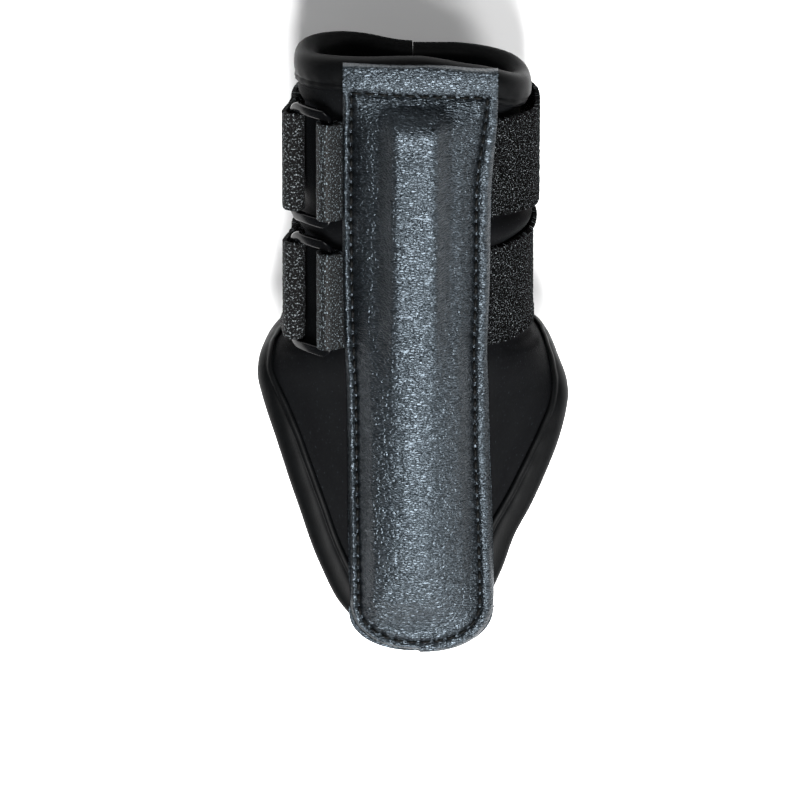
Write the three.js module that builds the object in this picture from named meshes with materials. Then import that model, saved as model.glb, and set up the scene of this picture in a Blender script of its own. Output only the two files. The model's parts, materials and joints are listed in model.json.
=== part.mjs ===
// Wrist guard: a neoprene wrist wrap with a splinted leather panel sewn along the back of the hand, two
// hook-and-loop straps, and two plastic rings that the straps thread through and fold back on.
//
// Lengths are millimetres. The guard lies palm side down: +Z is the back of the hand, +Y runs up the forearm
// and +X points to the little finger. "s" is the distance from the panel's top edge towards the fingers, and
// "theta" is the angle round the wrist, 0 at the back of the hand, positive to the little-finger side.

import * as THREE from 'three';
import { mergeVertices } from 'three/addons/utils/BufferGeometryUtils.js';

// ---- Driving dimensions ----------------------------------------------------------------------------------

const PANEL_LENGTH = 176;
const STRAP_WIDTH = 28.6;
const UPPER_STRAP_S = 33.5; // where each strap's middle lies along the panel
const LOWER_STRAP_S = 72;

const WRIST_CENTRE_X = -2; // the panel sits a little to the little-finger side
const WRIST_HALF_WIDTH = 31.3;
const HAND_HALF_WIDTH = 43.2;
const BACK_DEPTH = 20; // from the widest level up to the back of the hand
const PALM_DEPTH = 26;
const BACK_SQUARENESS = 2.7; // exponent of the cross-section: 2 is an ellipse
const PALM_SQUARENESS = 2.6;

const NEOPRENE = 3;
const WEBBING = 1.4;
const TAB_WEBBING = 1.2;
const LEATHER = 1.2;
const BACKING = 1.3;
const BINDING_TAPE = 0.8;
const BINDING_WIDTH = 4.7;
const HOOK_TAPE = 0.8;
const SPLINT = 1.4;
const GAP = 0.3; // left between pieces that touch
const TAPE_GAP = 0.9; // under the folded tape, whose facets cross those of the wrap
const UNDER_TAPE_SLACK = 0.3; // more room on the hollow inner side
const PALM_LIFT = BINDING_TAPE + TAPE_GAP + 0.1; // the straps rise over the bound wrap ends

const PALM_FLAT_Z = PALM_LIFT + 1.5 * GAP + WEBBING; // the wrap's flat palm side, above its straps
const CENTRE_Z = PALM_FLAT_Z - 0.8 + PALM_DEPTH;
const BACK_Z = CENTRE_Z + BACK_DEPTH;
const WRAP_END_ANGLE = 176; // the wrap's two ends stop this far round, and leave a slit between them

// ---- Small tools -----------------------------------------------------------------------------------------

const radians = THREE.MathUtils.degToRad;
const mix = THREE.MathUtils.lerp;
const smooth = (from, to, value) => THREE.MathUtils.smoothstep(value, from, to);

// A smooth curve through knots [[x, y], ...], level at its ends and without overshoot.
function through(knots) {
  const steps = knots.slice(1).map((k, i) => (k[1] - knots[i][1]) / (k[0] - knots[i][0]));
  const slopes = knots.map((_, i) => {
    const before = steps[i - 1] ?? 0;
    const after = steps[i] ?? 0;
    return before * after > 0 ? (2 * before * after) / (before + after) : 0;
  });
  return (x) => {
    if (x <= knots[0][0]) return knots[0][1];
    if (x >= knots.at(-1)[0]) return knots.at(-1)[1];
    const i = knots.findIndex((k) => k[0] > x) - 1;
    const width = knots[i + 1][0] - knots[i][0];
    const t = (x - knots[i][0]) / width;
    return (
      knots[i][1] * (1 - t) ** 2 * (1 + 2 * t) +
      knots[i + 1][1] * t * t * (3 - 2 * t) +
      slopes[i] * width * t * (1 - t) ** 2 +
      slopes[i + 1] * width * t * t * (t - 1)
    );
  };
}

// One named piece. Its vertices are merged and its faces turned to point out.
function piece(name, geometry, material) {
  geometry.deleteAttribute('normal');
  geometry.deleteAttribute('uv');
  const merged = mergeVertices(geometry, 1e-4);
  const corner = [new THREE.Vector3(), new THREE.Vector3(), new THREE.Vector3()];
  const index = merged.index.array;
  let volume = 0;
  for (let i = 0; i < index.length; i += 3) {
    corner.forEach((c, k) => c.fromBufferAttribute(merged.attributes.position, index[i + k]));
    volume += corner[0].dot(corner[1].clone().cross(corner[2]));
  }
  if (volume < 0) index.reverse();
  merged.computeVertexNormals();
  const mesh = new THREE.Mesh(merged, material);
  mesh.name = name;
  return mesh;
}

// Moves every vertex of a geometry to place(x, y, z).
function warp(geometry, place) {
  const at = geometry.attributes.position;
  for (let i = 0; i < at.count; i++) {
    const p = place(at.getX(i), at.getY(i), at.getZ(i));
    at.setXYZ(i, p.x, p.y, p.z);
  }
  return geometry;
}

// Turns the diagonals of the quads at x > 0, so that both halves of a box split alike.
function mirrorDiagonals(box) {
  const index = box.index.array;
  for (let i = 0; i < index.length; i += 6) {
    const [a, b, d, , c] = index.slice(i, i + 6);
    const x = (box.attributes.position.getX(a) + box.attributes.position.getX(c)) / 2;
    if (x > 0) index.set([a, b, c, a, c, d], i);
  }
  return box;
}

// A thin solid: a box of across by 1 by along steps, placed by (across, thickness, along), each from 0 to 1.
function sheet(across, along, place) {
  const box = mirrorDiagonals(new THREE.BoxGeometry(1, 1, 1, across, 1, along));
  return warp(box, (x, y, z) => place(x + 0.5, y + 0.5, z + 0.5));
}

// ---- Materials -------------------------------------------------------------------------------------------

const matt = (color, roughness) => new THREE.MeshStandardMaterial({ color, roughness, metalness: 0 });
const NEOPRENE_BLACK = matt(0x15181a, 0.85);
const BINDING_BLACK = matt(0x101214, 0.75);
const LEATHER_SLATE = matt(0x33393d, 0.5);
const WEBBING_BLACK = matt(0x242527, 0.8);
const LOOP_BLACK = matt(0x1a1a1c, 0.95);
const PLASTIC_BLACK = matt(0x0c0d0e, 0.25);
const THREAD_BLACK = matt(0x0a0b0c, 0.6);
const FOAM_GREY = matt(0x3a3a3a, 0.95);
const SPLINT_GREY = new THREE.MeshStandardMaterial({ color: 0xa8abae, roughness: 0.4, metalness: 1 });

// ---- The wrist and hand that the wrap follows ------------------------------------------------------------

// How far the width has grown from wrist to hand, on the back and on each palm side.
function flare(theta, s) {
  const back = smooth(84, 124, s);
  const palm = theta < 0 ? smooth(78, 104, s) : smooth(80, 108, s);
  return mix(back, palm, smooth(-0.35, 0.35, -Math.cos(radians(theta))));
}

function halfWidth(theta, s) {
  return mix(WRIST_HALF_WIDTH, HAND_HALF_WIDTH, flare(theta, s));
}

// The wrap's outer face in the XZ plane.
function outline(theta, s) {
  const a = radians(theta);
  const onBack = Math.cos(a) >= 0;
  const n = onBack ? BACK_SQUARENESS : PALM_SQUARENESS;
  const across = Math.abs(Math.sin(a)) / halfWidth(((theta + 540) % 360) - 180, s);
  const up = Math.abs(Math.cos(a)) / (onBack ? BACK_DEPTH : PALM_DEPTH);
  const r = (across ** n + up ** n) ** (-1 / n);
  return new THREE.Vector2(WRIST_CENTRE_X + r * Math.sin(a), CENTRE_Z + r * Math.cos(a));
}

// A point "height" outside the wrap's outer face. The palm side is pressed flat where it rests.
function wrapPoint(theta, s, height) {
  const tangent = outline(theta + 0.5, s).sub(outline(theta - 0.5, s)).normalize();
  const p = outline(theta, s);
  const x = p.x - tangent.y * height;
  const z = Math.max(p.y + tangent.x * height, PALM_FLAT_Z - height);
  return new THREE.Vector3(x, -s, z);
}

// Height of the wrap's outer face under a point of the back of the hand.
function backHeight(x, s) {
  const share = Math.abs(x - WRIST_CENTRE_X) / halfWidth(0, s);
  return CENTRE_Z + BACK_DEPTH * (1 - share ** BACK_SQUARENESS) ** (1 / BACK_SQUARENESS);
}

// ---- Wrap and its binding tape ---------------------------------------------------------------------------

// The wrap's edge towards the elbow, and its edge towards the fingers, against the angle round the wrist.
const rimS = through([
  [-180, 13], [-135, 9], [-90, 5.7], [-45, 3], [0, 2.2], [45, 5.5], [75, 11], [100, 13.5], [180, 13.5],
]);
const fingerEdgeS = through([
  [-180, 93], [-120, 93.5], [-96, 94.5], [-85, 97], [-80, 101.5], [-72, 113], [-63, 132.5], [-55, 150],
  [-45, 163.5], [-36, 168.3], [0, 169.5], [36, 167.5], [46, 162], [52, 154], [57, 144], [63, 135.5],
  [70, 124.5], [77, 114], [84, 104],
  [94, 97.5], [112, 94.5], [140, 93], [180, 93],
]);

// Angles round the wrap, closer together where the finger edge is steep.
const spread = through([
  [-1, -WRAP_END_ANGLE], [-0.6, -85], [-0.14, -25], [0.14, 25], [0.6, 85], [1, WRAP_END_ANGLE],
]);
const wrapAngle = (u) => mix(mix(-WRAP_END_ANGLE, WRAP_END_ANGLE, u), spread(2 * u - 1), 0.85);

function wristWrap() {
  const place = (u, h, v) => {
    const theta = wrapAngle(u);
    return wrapPoint(theta, mix(rimS(theta), fingerEdgeS(theta), v), (h - 1) * NEOPRENE);
  };
  return piece('wrist_wrap', sheet(44, 20, place), NEOPRENE_BLACK);
}

// Tape folded over an edge of the wrap. edge(t) gives [theta, s] for t from 0 to 1, and the wrap is to its left
// (side 1) or right (side -1) on a plan with theta across and s down.
function binding(name, steps, side, edge) {
  const over = NEOPRENE / 2 + TAPE_GAP;
  const under = -over - UNDER_TAPE_SLACK;
  const back = -GAP - BINDING_TAPE;
  const section = new THREE.Shape(
    [
      [back, under - BINDING_TAPE], [BINDING_WIDTH, under - BINDING_TAPE],
      [BINDING_WIDTH, under], [-GAP, under],
      [-GAP, over], [BINDING_WIDTH, over],
      [BINDING_WIDTH, over + BINDING_TAPE], [back, over + BINDING_TAPE],
    ].map(([x, y]) => new THREE.Vector2(x, y)),
  );
  const tape = new THREE.ExtrudeGeometry(section, { depth: 1, steps, bevelEnabled: false });
  const place = (inward, height, t) => {
    const [theta, s] = edge(t);
    const [thetaOn, sOn] = edge(t + 0.004);
    const [thetaBack, sBack] = edge(t - 0.004);
    const millimetresPerDegree = outline(theta + 1, s).distanceTo(outline(theta - 1, s)) / 2;
    const along = new THREE.Vector2((thetaOn - thetaBack) * millimetresPerDegree, sOn - sBack).normalize();
    const turn = (-along.y * side * inward) / millimetresPerDegree;
    return wrapPoint(theta + turn, s + along.x * side * inward, height - NEOPRENE / 2);
  };
  return piece(name, warp(tape, place), BINDING_BLACK);
}

function bindings() {
  const corner = BINDING_WIDTH + 2 * GAP;
  const endAt = (theta) => (t) => [theta, mix(rimS(theta) + corner, fingerEdgeS(theta) - corner, t)];
  const rim = (t) => [wrapAngle(t), rimS(wrapAngle(t))];
  // Each half's ends stop just short of the middle; its other points are the wrap's own.
  const fingerEdge = (from, lowest, highest) => (t) => {
    const theta = wrapAngle(THREE.MathUtils.clamp(from + t / 2, lowest, highest));
    return [theta, fingerEdgeS(theta)];
  };
  return [
    binding('rim_binding', 44, 1, rim),
    binding('thumb_edge_binding', 22, -1, fingerEdge(0, -0.002, 0.497)),
    binding('little_finger_edge_binding', 22, -1, fingerEdge(0.5, 0.503, 1.002)),
    binding('thumb_end_binding', 3, -1, endAt(-WRAP_END_ANGLE)),
    binding('little_finger_end_binding', 3, 1, endAt(WRAP_END_ANGLE)),
  ];
}

// ---- Leather panel with its splint -----------------------------------------------------------------------

const panelHalfWidth = through([[0, 21.6], [12, 21.5], [40, 20.7], [87, 20.1], [130, 20.8], [160, 21.1]]);
const channelHeight = through([[13, 0], [26, 7], [34, 7.6], [90, 7.6], [140, 6.4], [158, 4.4], [170, 0]]);
const channelHalfWidth = through([[13, 12], [30, 13], [90, 15], [130, 16.5]]);
const PANEL_END = 14.5; // length of the panel's rounded end
const PANEL_END_SQUARENESS = 2.3;
const PANEL_BEND = 0.45; // share of the wrap's own sag that the stiff panel follows
const BACKING_HALF_WIDTH = 14;
const BACKING_TOP = GAP + BACKING;
const COVER_UNDER = BACKING_TOP + GAP;

// Where the rounded end of the panel lies, "share" of the way out from its middle line.
const panelEnd = (share) =>
  PANEL_LENGTH - PANEL_END * (1 - (1 - Math.abs(share) ** PANEL_END_SQUARENESS) ** (1 / PANEL_END_SQUARENESS));

// The panel's own base surface: the straight line of the hand's back, bent a little over its edges.
const panelBase = (x, s) => BACK_Z - PANEL_BEND * (BACK_Z - backHeight(x, s));

// How far the splint lifts the leather.
function channel(x, s) {
  const share = Math.min(1, Math.abs(x) / channelHalfWidth(s));
  return channelHeight(s) * (1 - share ** 2.6) ** 2;
}

const onPanel = (x, s, height) => new THREE.Vector3(x, -s, panelBase(x, s) + height);

function panelCover() {
  const place = (u, h, v) => {
    const share = Math.sin(radians(mix(-88, 88, u)));
    const s = v * panelEnd(share);
    const x = share * panelHalfWidth(s);
    return onPanel(x, s, COVER_UNDER + channel(x, s) + h * LEATHER);
  };
  return piece('panel_cover', sheet(16, 24, place), LEATHER_SLATE);
}

function panelBacking() {
  const place = (u, h, v) => onPanel(mix(-1, 1, u) * BACKING_HALF_WIDTH, mix(11, 158, v), GAP + h * BACKING);
  return piece('panel_backing', sheet(4, 10, place), LEATHER_SLATE);
}

// Height of the splint's under face.
const underSplint = (x, s) => COVER_UNDER + channel(x, s) - 0.8 - SPLINT;
const SPLINT_SHARE = 0.34; // of the channel's width
const SPLINT_X = -1.6; // the bar lies a little to the thumb side
const SPLINT_S = [28, 152];

function splint() {
  const place = (u, h, v) => {
    const s = mix(...SPLINT_S, v);
    const x = SPLINT_X + mix(-1, 1, u) * SPLINT_SHARE * channelHalfWidth(s);
    return onPanel(x, s, underSplint(x, s) + h * SPLINT);
  };
  return piece('splint', sheet(8, 12, place), SPLINT_GREY);
}

function splintPad() {
  const place = (u, h, v) => {
    const s = mix(SPLINT_S[0] + 2, SPLINT_S[1] - 2, v);
    const x = SPLINT_X + mix(-1, 1, u) * 0.26 * channelHalfWidth(s);
    return onPanel(x, s, mix(COVER_UNDER, underSplint(x, s) - 2 * GAP, h));
  };
  return piece('splint_pad', sheet(6, 10, place), FOAM_GREY);
}

// The seam's line on a panel of even width, from the top seam round the rounded end.
const SEAM_INSET = 3.2;
const SEAM_HALF_WIDTH = 17.6;
const SEAM_TOP = 9.4;
const SEAM_END = 13;
function seamLine(count) {
  const end = PANEL_LENGTH - SEAM_INSET;
  const side = SEAM_HALF_WIDTH;
  const path = new THREE.Path();
  path.moveTo(-side, SEAM_TOP);
  path.lineTo(-side, end - SEAM_END);
  path.bezierCurveTo(-side, end - 3, -0.6 * side, end, 0, end);
  path.bezierCurveTo(0.6 * side, end, side, end - 3, side, end - SEAM_END);
  path.lineTo(side, SEAM_TOP);
  path.closePath();
  return path.getSpacedPoints(count).slice(0, count);
}

function panelStitching() {
  const count = 60;
  const line = seamLine(count);
  const ring = new THREE.TorusGeometry(1, 0.35, 4, count);
  const place = (x, y, z) => {
    const turn = (Math.atan2(y, x) / (2 * Math.PI) + 1) % 1;
    const p = line[Math.round(turn * count) % count];
    const out = Math.hypot(x, y) - 1;
    const side = (p.x / SEAM_HALF_WIDTH) * (panelHalfWidth(p.y) - SEAM_INSET);
    const centre = PANEL_LENGTH / 2;
    const away = new THREE.Vector2(side / 20, (p.y - centre) / centre).normalize();
    const at = new THREE.Vector2(side + away.x * out, p.y + away.y * out);
    return onPanel(at.x, at.y, COVER_UNDER + LEATHER + channel(side, p.y) + 0.65 + z);
  };
  return piece('panel_stitching', warp(ring, place), THREAD_BLACK);
}

// ---- Rings, and the webbing round their bars -------------------------------------------------------------

const RING_ANGLE = -63; // where the middle of each ring lies round the wrist
const RING_LIFT = 2.6;
const RING_WIDTH = 15.5;
const RING_LENGTH = 35;
const RING_THICKNESS = 1.8;
const RING_BAR = 2.8; // the long bars
const RING_WINDOW_LENGTH = STRAP_WIDTH + 0.8;
const BAR_CLEARANCE = 2; // inside radius of webbing folded round a bar

// A ring's own directions: "out" off the wrist, "round" towards the thumb, and its middle in the XZ plane.
const ringRound = outline(RING_ANGLE - 0.5, 40).sub(outline(RING_ANGLE + 0.5, 40)).normalize();
const ringOut = new THREE.Vector2(ringRound.y, -ringRound.x);
const ringMiddle = outline(RING_ANGLE, 40).addScaledVector(ringOut, RING_LIFT);
const BAR_OFFSET = (RING_WIDTH - RING_BAR) / 2;
const innerBar = ringMiddle.clone().addScaledVector(ringRound, -BAR_OFFSET);
const outerBar = ringMiddle.clone().addScaledVector(ringRound, BAR_OFFSET);

function roundedRectangle(shape, width, length, radius) {
  const [x, y] = [width / 2, length / 2];
  shape.moveTo(-x + radius, -y);
  shape.lineTo(x - radius, -y);
  shape.absarc(x - radius, -y + radius, radius, -Math.PI / 2, 0, false);
  shape.lineTo(x, y - radius);
  shape.absarc(x - radius, y - radius, radius, 0, Math.PI / 2, false);
  shape.lineTo(-x + radius, y);
  shape.absarc(-x + radius, y - radius, radius, Math.PI / 2, Math.PI, false);
  shape.lineTo(-x, -y + radius);
  shape.absarc(-x + radius, -y + radius, radius, Math.PI, Math.PI * 1.5, false);
  return shape;
}

function strapRing(name, s) {
  const shape = roundedRectangle(new THREE.Shape(), RING_WIDTH, RING_LENGTH, 3.4);
  shape.holes.push(roundedRectangle(new THREE.Path(), RING_WIDTH - 2 * RING_BAR, RING_WINDOW_LENGTH, 1.2));
  const settings = { depth: RING_THICKNESS, bevelEnabled: false, curveSegments: 3 };
  const flat = new THREE.ExtrudeGeometry(shape, settings);
  const ring = piece(name, flat.translate(0, 0, -RING_THICKNESS / 2), PLASTIC_BLACK);
  ring.position.set(ringMiddle.x, -s, ringMiddle.y);
  ring.rotation.y = Math.atan2(ringOut.x, ringOut.y);
  return ring;
}

// A point of the XZ plane near a bar: "round" and "out" millimetres from the bar's middle.
const nearBar = (bar, round, out) =>
  bar.clone().addScaledVector(ringRound, round).addScaledVector(ringOut, out);

// Webbing of this width along a centre line given at its two edges and middle. Each line is the list of
// points [x, y, z] for one place across the width, and from and to count along that list.
function webbing(name, lineAt, thickness, from, to, steps, material, under = 0) {
  const across = [0, 0.25, 0.5, 0.75, 1];
  const lines = across.map((v) => new THREE.CatmullRomCurve3(lineAt(v), false, 'centripetal'));
  const onLine = (line, t) => {
    const p = line.getPoint(THREE.MathUtils.clamp(t, 0, 1));
    p.z = Math.max(p.z, thickness / 2); // what goes under the palm lies flat
    return p;
  };
  const place = (u, h, v) => {
    const line = lines[Math.round(v * 4)];
    const t = mix(from, to, u) / (line.points.length - 1);
    const p = onLine(line, t);
    const ahead = onLine(line, t + 1e-3).sub(onLine(line, t - 1e-3));
    const on = new THREE.Vector2(ahead.x, ahead.z).normalize();
    const height = (h - 0.5) * thickness + under;
    return new THREE.Vector3(p.x - on.y * height, p.y, p.z + on.x * height);
  };
  return piece(name, sheet(steps, 4, place), material);
}

// The elastic tab: from under the panel's edge over the ring's inner bar, round it, and back under itself.
function ringTab(name, s) {
  const radius = BAR_CLEARANCE + TAB_WEBBING / 2;
  const lineAt = (v) => {
    const y = -s + (0.5 - v) * STRAP_WIDTH;
    const onWrap = (x, height) => {
      const slope = (backHeight(x + 1, s) - backHeight(x - 1, s)) / 2;
      return new THREE.Vector2(x, backHeight(x, s) + height * Math.hypot(1, slope));
    };
    const turn = [135, 90, 45, 0, -45, -90].map((angle) =>
      nearBar(innerBar, radius * Math.cos(radians(angle)), radius * Math.sin(radians(angle))),
    );
    const top = [onWrap(-16.5, 0.95), onWrap(-20.6, 1.3)];
    const underEnd = nearBar(innerBar, -2.6, -radius - 0.1);
    return [...top, ...turn, underEnd].map((p) => new THREE.Vector3(p.x, y, p.y));
  };
  return webbing(name, lineAt, TAB_WEBBING, 0, 8, 18, WEBBING_BLACK);
}

// The strap's centre line: from under the panel's other edge round the palm, under the ring's outer bar, up
// through the window, over the bar and back over itself.
const STRAP_ANGLES = [46, 60, 75, 90, 105, 120, 135, 150, 165, 180, 195, 210, 225, 240, 252];
const TAIL_ANGLES = [263, 254, 244, 235, 226];
const FOLD_FROM = STRAP_ANGLES.length; // places along the centre line where its pieces part
const TAIL_FROM = FOLD_FROM + 8;
const LINE_END = TAIL_FROM + TAIL_ANGLES.length;

function strapLine(s, sag) {
  return (v) => {
    const aside = (v - 0.5) * STRAP_WIDTH;
    const middle = (theta) => s - sag * smooth(48, 90, theta) * (1 - smooth(120, 200, theta));
    const lift = (theta) => PALM_LIFT * (1 - smooth(30, 55, Math.abs(theta - 180)));
    const main = STRAP_ANGLES.map((theta) =>
      wrapPoint(theta, middle(theta) + aside, 1.5 * GAP + WEBBING / 2 + lift(theta)),
    );
    const radius = BAR_CLEARANCE + WEBBING / 2;
    const turn = [-90, -135, 180, 135, 90].map((angle) =>
      nearBar(outerBar, radius * Math.cos(radians(angle)), radius * Math.sin(radians(angle))),
    );
    const fold = [nearBar(outerBar, 5.2, -radius - 1.3), nearBar(outerBar, 2.6, -radius - 0.2), ...turn,
      nearBar(outerBar, 2.6, radius - 0.1), nearBar(outerBar, 5, radius - 1.1)];
    const tailHeight = 3 * GAP + WEBBING + GAP + HOOK_TAPE + GAP + WEBBING / 2;
    const tail = TAIL_ANGLES.map((theta) => wrapPoint(theta, s + aside, tailHeight + lift(theta)));
    return [...main, ...fold.map((p) => new THREE.Vector3(p.x, -s - aside, p.y)), ...tail];
  };
}

function strap(prefix, s, sag) {
  const line = strapLine(s, sag);
  const part = (name, from, to, steps, material) =>
    webbing(`${prefix}_${name}`, line, WEBBING, from, to, steps, material);
  return {
    main: part('strap', 0, FOLD_FROM - 0.2, 28, LOOP_BLACK),
    fold: part('strap_fold', FOLD_FROM + 0.05, TAIL_FROM - 0.1, 15, WEBBING_BLACK),
    tail: part('strap_tail', TAIL_FROM + 0.1, LINE_END - 0.02, 9, WEBBING_BLACK),
    hook: webbing(`${prefix}_hook_patch`, line, HOOK_TAPE, TAIL_FROM + 1.7, LINE_END - 0.1, 8, LOOP_BLACK,
      WEBBING / 2 + GAP + HOOK_TAPE / 2),
  };
}

// ---- Assembly --------------------------------------------------------------------------------------------

const guard = new THREE.Group();
guard.add(wristWrap(), ...bindings(), panelBacking(), splintPad(), splint(), panelCover(), panelStitching());
for (const [prefix, s, sag] of [['upper', UPPER_STRAP_S, 0], ['lower', LOWER_STRAP_S, 3.5]]) {
  const { main, fold, tail, hook } = strap(prefix, s, sag);
  guard.add(ringTab(`${prefix}_ring_tab`, s), strapRing(`${prefix}_ring`, s), main, fold, tail, hook);
}

// The origin is the middle of the footprint, on the surface that the guard lies on.
const box = new THREE.Box3().setFromObject(guard);
const footprint = box.getCenter(new THREE.Vector3());
guard.position.set(-footprint.x, -footprint.y, -box.min.z);

export default guard;
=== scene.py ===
import json
import math

import bmesh
import bpy
from mathutils import Matrix, Vector, kdtree, noise
from mathutils.geometry import interpolate_bezier


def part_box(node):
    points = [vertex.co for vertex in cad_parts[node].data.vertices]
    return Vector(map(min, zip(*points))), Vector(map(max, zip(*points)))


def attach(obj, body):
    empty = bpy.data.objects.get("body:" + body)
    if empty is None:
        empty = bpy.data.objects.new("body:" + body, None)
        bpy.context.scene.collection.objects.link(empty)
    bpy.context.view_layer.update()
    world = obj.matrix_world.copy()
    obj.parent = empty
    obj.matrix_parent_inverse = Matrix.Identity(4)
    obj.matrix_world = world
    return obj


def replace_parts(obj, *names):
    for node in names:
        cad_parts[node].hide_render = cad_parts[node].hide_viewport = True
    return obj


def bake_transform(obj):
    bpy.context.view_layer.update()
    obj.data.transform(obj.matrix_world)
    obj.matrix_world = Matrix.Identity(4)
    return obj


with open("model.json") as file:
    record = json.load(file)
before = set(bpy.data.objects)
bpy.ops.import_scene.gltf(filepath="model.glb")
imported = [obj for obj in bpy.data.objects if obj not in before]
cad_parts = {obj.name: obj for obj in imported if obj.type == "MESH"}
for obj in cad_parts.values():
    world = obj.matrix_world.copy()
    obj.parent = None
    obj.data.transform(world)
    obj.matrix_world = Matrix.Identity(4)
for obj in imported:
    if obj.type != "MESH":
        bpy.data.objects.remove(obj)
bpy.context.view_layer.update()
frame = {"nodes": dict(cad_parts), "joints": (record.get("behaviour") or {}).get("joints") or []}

# ---- Studio ------------------------------------------------------------------------------------
# A long lens looks at the back of the hand from a little up the forearm. The guard lies on a
# white floor under one large softbox, with smaller ones on the little-finger side and up the
# forearm.

MM = 0.001


def linear(hex_colour):
    """A "#rrggbb" sRGB colour as linear RGBA."""
    parts = [int(hex_colour[i:i + 2], 16) / 255 for i in (1, 3, 5)]
    return [c / 12.92 if c <= 0.04045 else ((c + 0.055) / 1.055) ** 2.4 for c in parts] + [1.0]


def new_material(name, **values):
    """A material with these values on its Principled shader's own sockets."""
    material = bpy.data.materials.new(name)
    material.use_nodes = True
    shader = material.node_tree.nodes["Principled BSDF"]
    for socket, value in values.items():
        shader.inputs[socket.replace("_", " ")].default_value = value
    return material


def add(material, kind, inputs=None, **settings):
    """Adds a node with its settings, and for each input a value or another node's output."""
    node = material.node_tree.nodes.new("ShaderNode" + kind)
    for setting, value in settings.items():
        setattr(node, setting, value)
    for socket, value in (inputs or {}).items():
        if isinstance(value, bpy.types.NodeSocket):
            material.node_tree.links.new(value, node.inputs[socket])
        else:
            node.inputs[socket].default_value = value
    return node


def wire(material, **outputs):
    """Links these outputs to the Principled shader."""
    shader = material.node_tree.nodes["Principled BSDF"]
    for socket, output in outputs.items():
        material.node_tree.links.new(output, shader.inputs[socket.replace("_", " ")])


LENS_DISTANCE = 3.0
VIEW_WIDTH = 0.224  # what the frame takes in across the panel
VIEW_TILT = math.radians(22)
aim = Vector((-4.4, -12.9, 52)) * MM
lens = bpy.data.cameras.new("camera")
lens.lens = lens.sensor_width * LENS_DISTANCE / VIEW_WIDTH
lens.clip_end = 20
camera = bpy.data.objects.new("camera", lens)
camera.location = aim + LENS_DISTANCE * Vector((0, math.sin(VIEW_TILT), math.cos(VIEW_TILT)))
camera.rotation_euler = (-VIEW_TILT, 0, 0)
bpy.context.collection.objects.link(camera)
bpy.context.scene.camera = camera
bpy.context.scene.view_settings.view_transform = "Standard"


def softbox(name, towards, distance, size, watts):
    """A rectangular area light, that far from the guard in that direction, facing it."""
    data = bpy.data.lights.new(name, "AREA")
    data.shape = "RECTANGLE"
    data.size, data.size_y = size
    data.energy = watts
    light = bpy.data.objects.new(name, data)
    light.location = aim + distance * Vector(towards).normalized()
    light.rotation_euler = (aim - light.location).to_track_quat("-Z", "Y").to_euler()
    bpy.context.collection.objects.link(light)


softbox("key_softbox", (0.04, -0.46, 0.93), 1.1, (0.42, 0.7), 50)
softbox("little_finger_side_softbox", (0.72, -0.36, 0.62), 1.3, (0.45, 0.6), 13)
softbox("forearm_softbox", (-0.3, 1.1, 0.9), 1.5, (0.6, 0.6), 8)
world = bpy.data.worlds.new("studio_walls")
world.use_nodes = True
world.node_tree.nodes["Background"].inputs["Color"].default_value = linear("#f4f6f8")
world.node_tree.nodes["Background"].inputs["Strength"].default_value = 0.1
bpy.context.scene.world = world

floor_mesh = bmesh.new()
bmesh.ops.create_grid(floor_mesh, x_segments=1, y_segments=1, size=4)
floor_data = bpy.data.meshes.new("floor")
floor_mesh.to_mesh(floor_data)
floor = bpy.data.objects.new("floor", floor_data)
bpy.context.collection.objects.link(floor)
floor_paint = new_material("white_paper_floor", Base_Color=linear("#fbfbfb"), Roughness=0.9)
floor_grain = add(floor_paint, "TexNoise", {"Scale": 900.0, "Detail": 3.0})
wire(floor_paint, Normal=add(floor_paint, "Bump", {
    "Strength": 0.05, "Distance": 0.0002, "Height": floor_grain.outputs["Fac"],
}).outputs["Normal"])
floor_data.materials.append(floor_paint)

# ---- Wrist wrap --------------------------------------------------------------------------------
# One sheet of 3 mm neoprene foam with knitted jersey on both faces, cut to a shape and closed
# under the palm. It goes round the wrist, widens over the hand and runs on as a pointed flap on
# the back.

# Sizes are in millimetres. "theta" is the angle round the wrist from the back of the hand,
# positive to the little-finger side, and "s" the distance down from the panel's top edge.
PANEL_LOW, PANEL_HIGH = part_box("panel_cover")
WRAP_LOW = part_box("wrist_wrap")[0]
PANEL_X = (PANEL_LOW.x + PANEL_HIGH.x) / 2 / MM
TOP_Y = PANEL_HIGH.y / MM
PALM_Z = WRAP_LOW.z / MM
NEOPRENE = 3.0
PALM_DEPTH, BACK_DEPTH = 26.0, 20.0
PALM_SQUARENESS, BACK_SQUARENESS = 2.6, 2.7
CENTRE_X = PANEL_X - 2.0
CENTRE_Z = PALM_Z - 0.8 + PALM_DEPTH
BACK_Z = CENTRE_Z + BACK_DEPTH
WRIST_HALF_WIDTH, HAND_HALF_WIDTH = 31.3, 43.2
WRAP_END = 176.0
STRAP_WIDTH = 28.6
STRAP_S = {"upper": 33.5, "lower": 72.0}
PRESS = 1.2  # how far a tight strap presses the foam in
EDGE_TUCK = 0.4  # the foam ends this far inside its edge line, under the tape


def mix(a, b, t):
    return a + (b - a) * t


def smooth(start, end, value):
    """0 before start, 1 after end, and a smooth rise between."""
    t = min(1.0, max(0.0, (value - start) / (end - start)))
    return t * t * (3 - 2 * t)


def hump(start, end, value):
    """A round hump from 0 at start to 1 in the middle and 0 at end."""
    t = min(1.0, max(0.0, (value - start) / (end - start)))
    return math.sin(math.pi * t) ** 2


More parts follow.
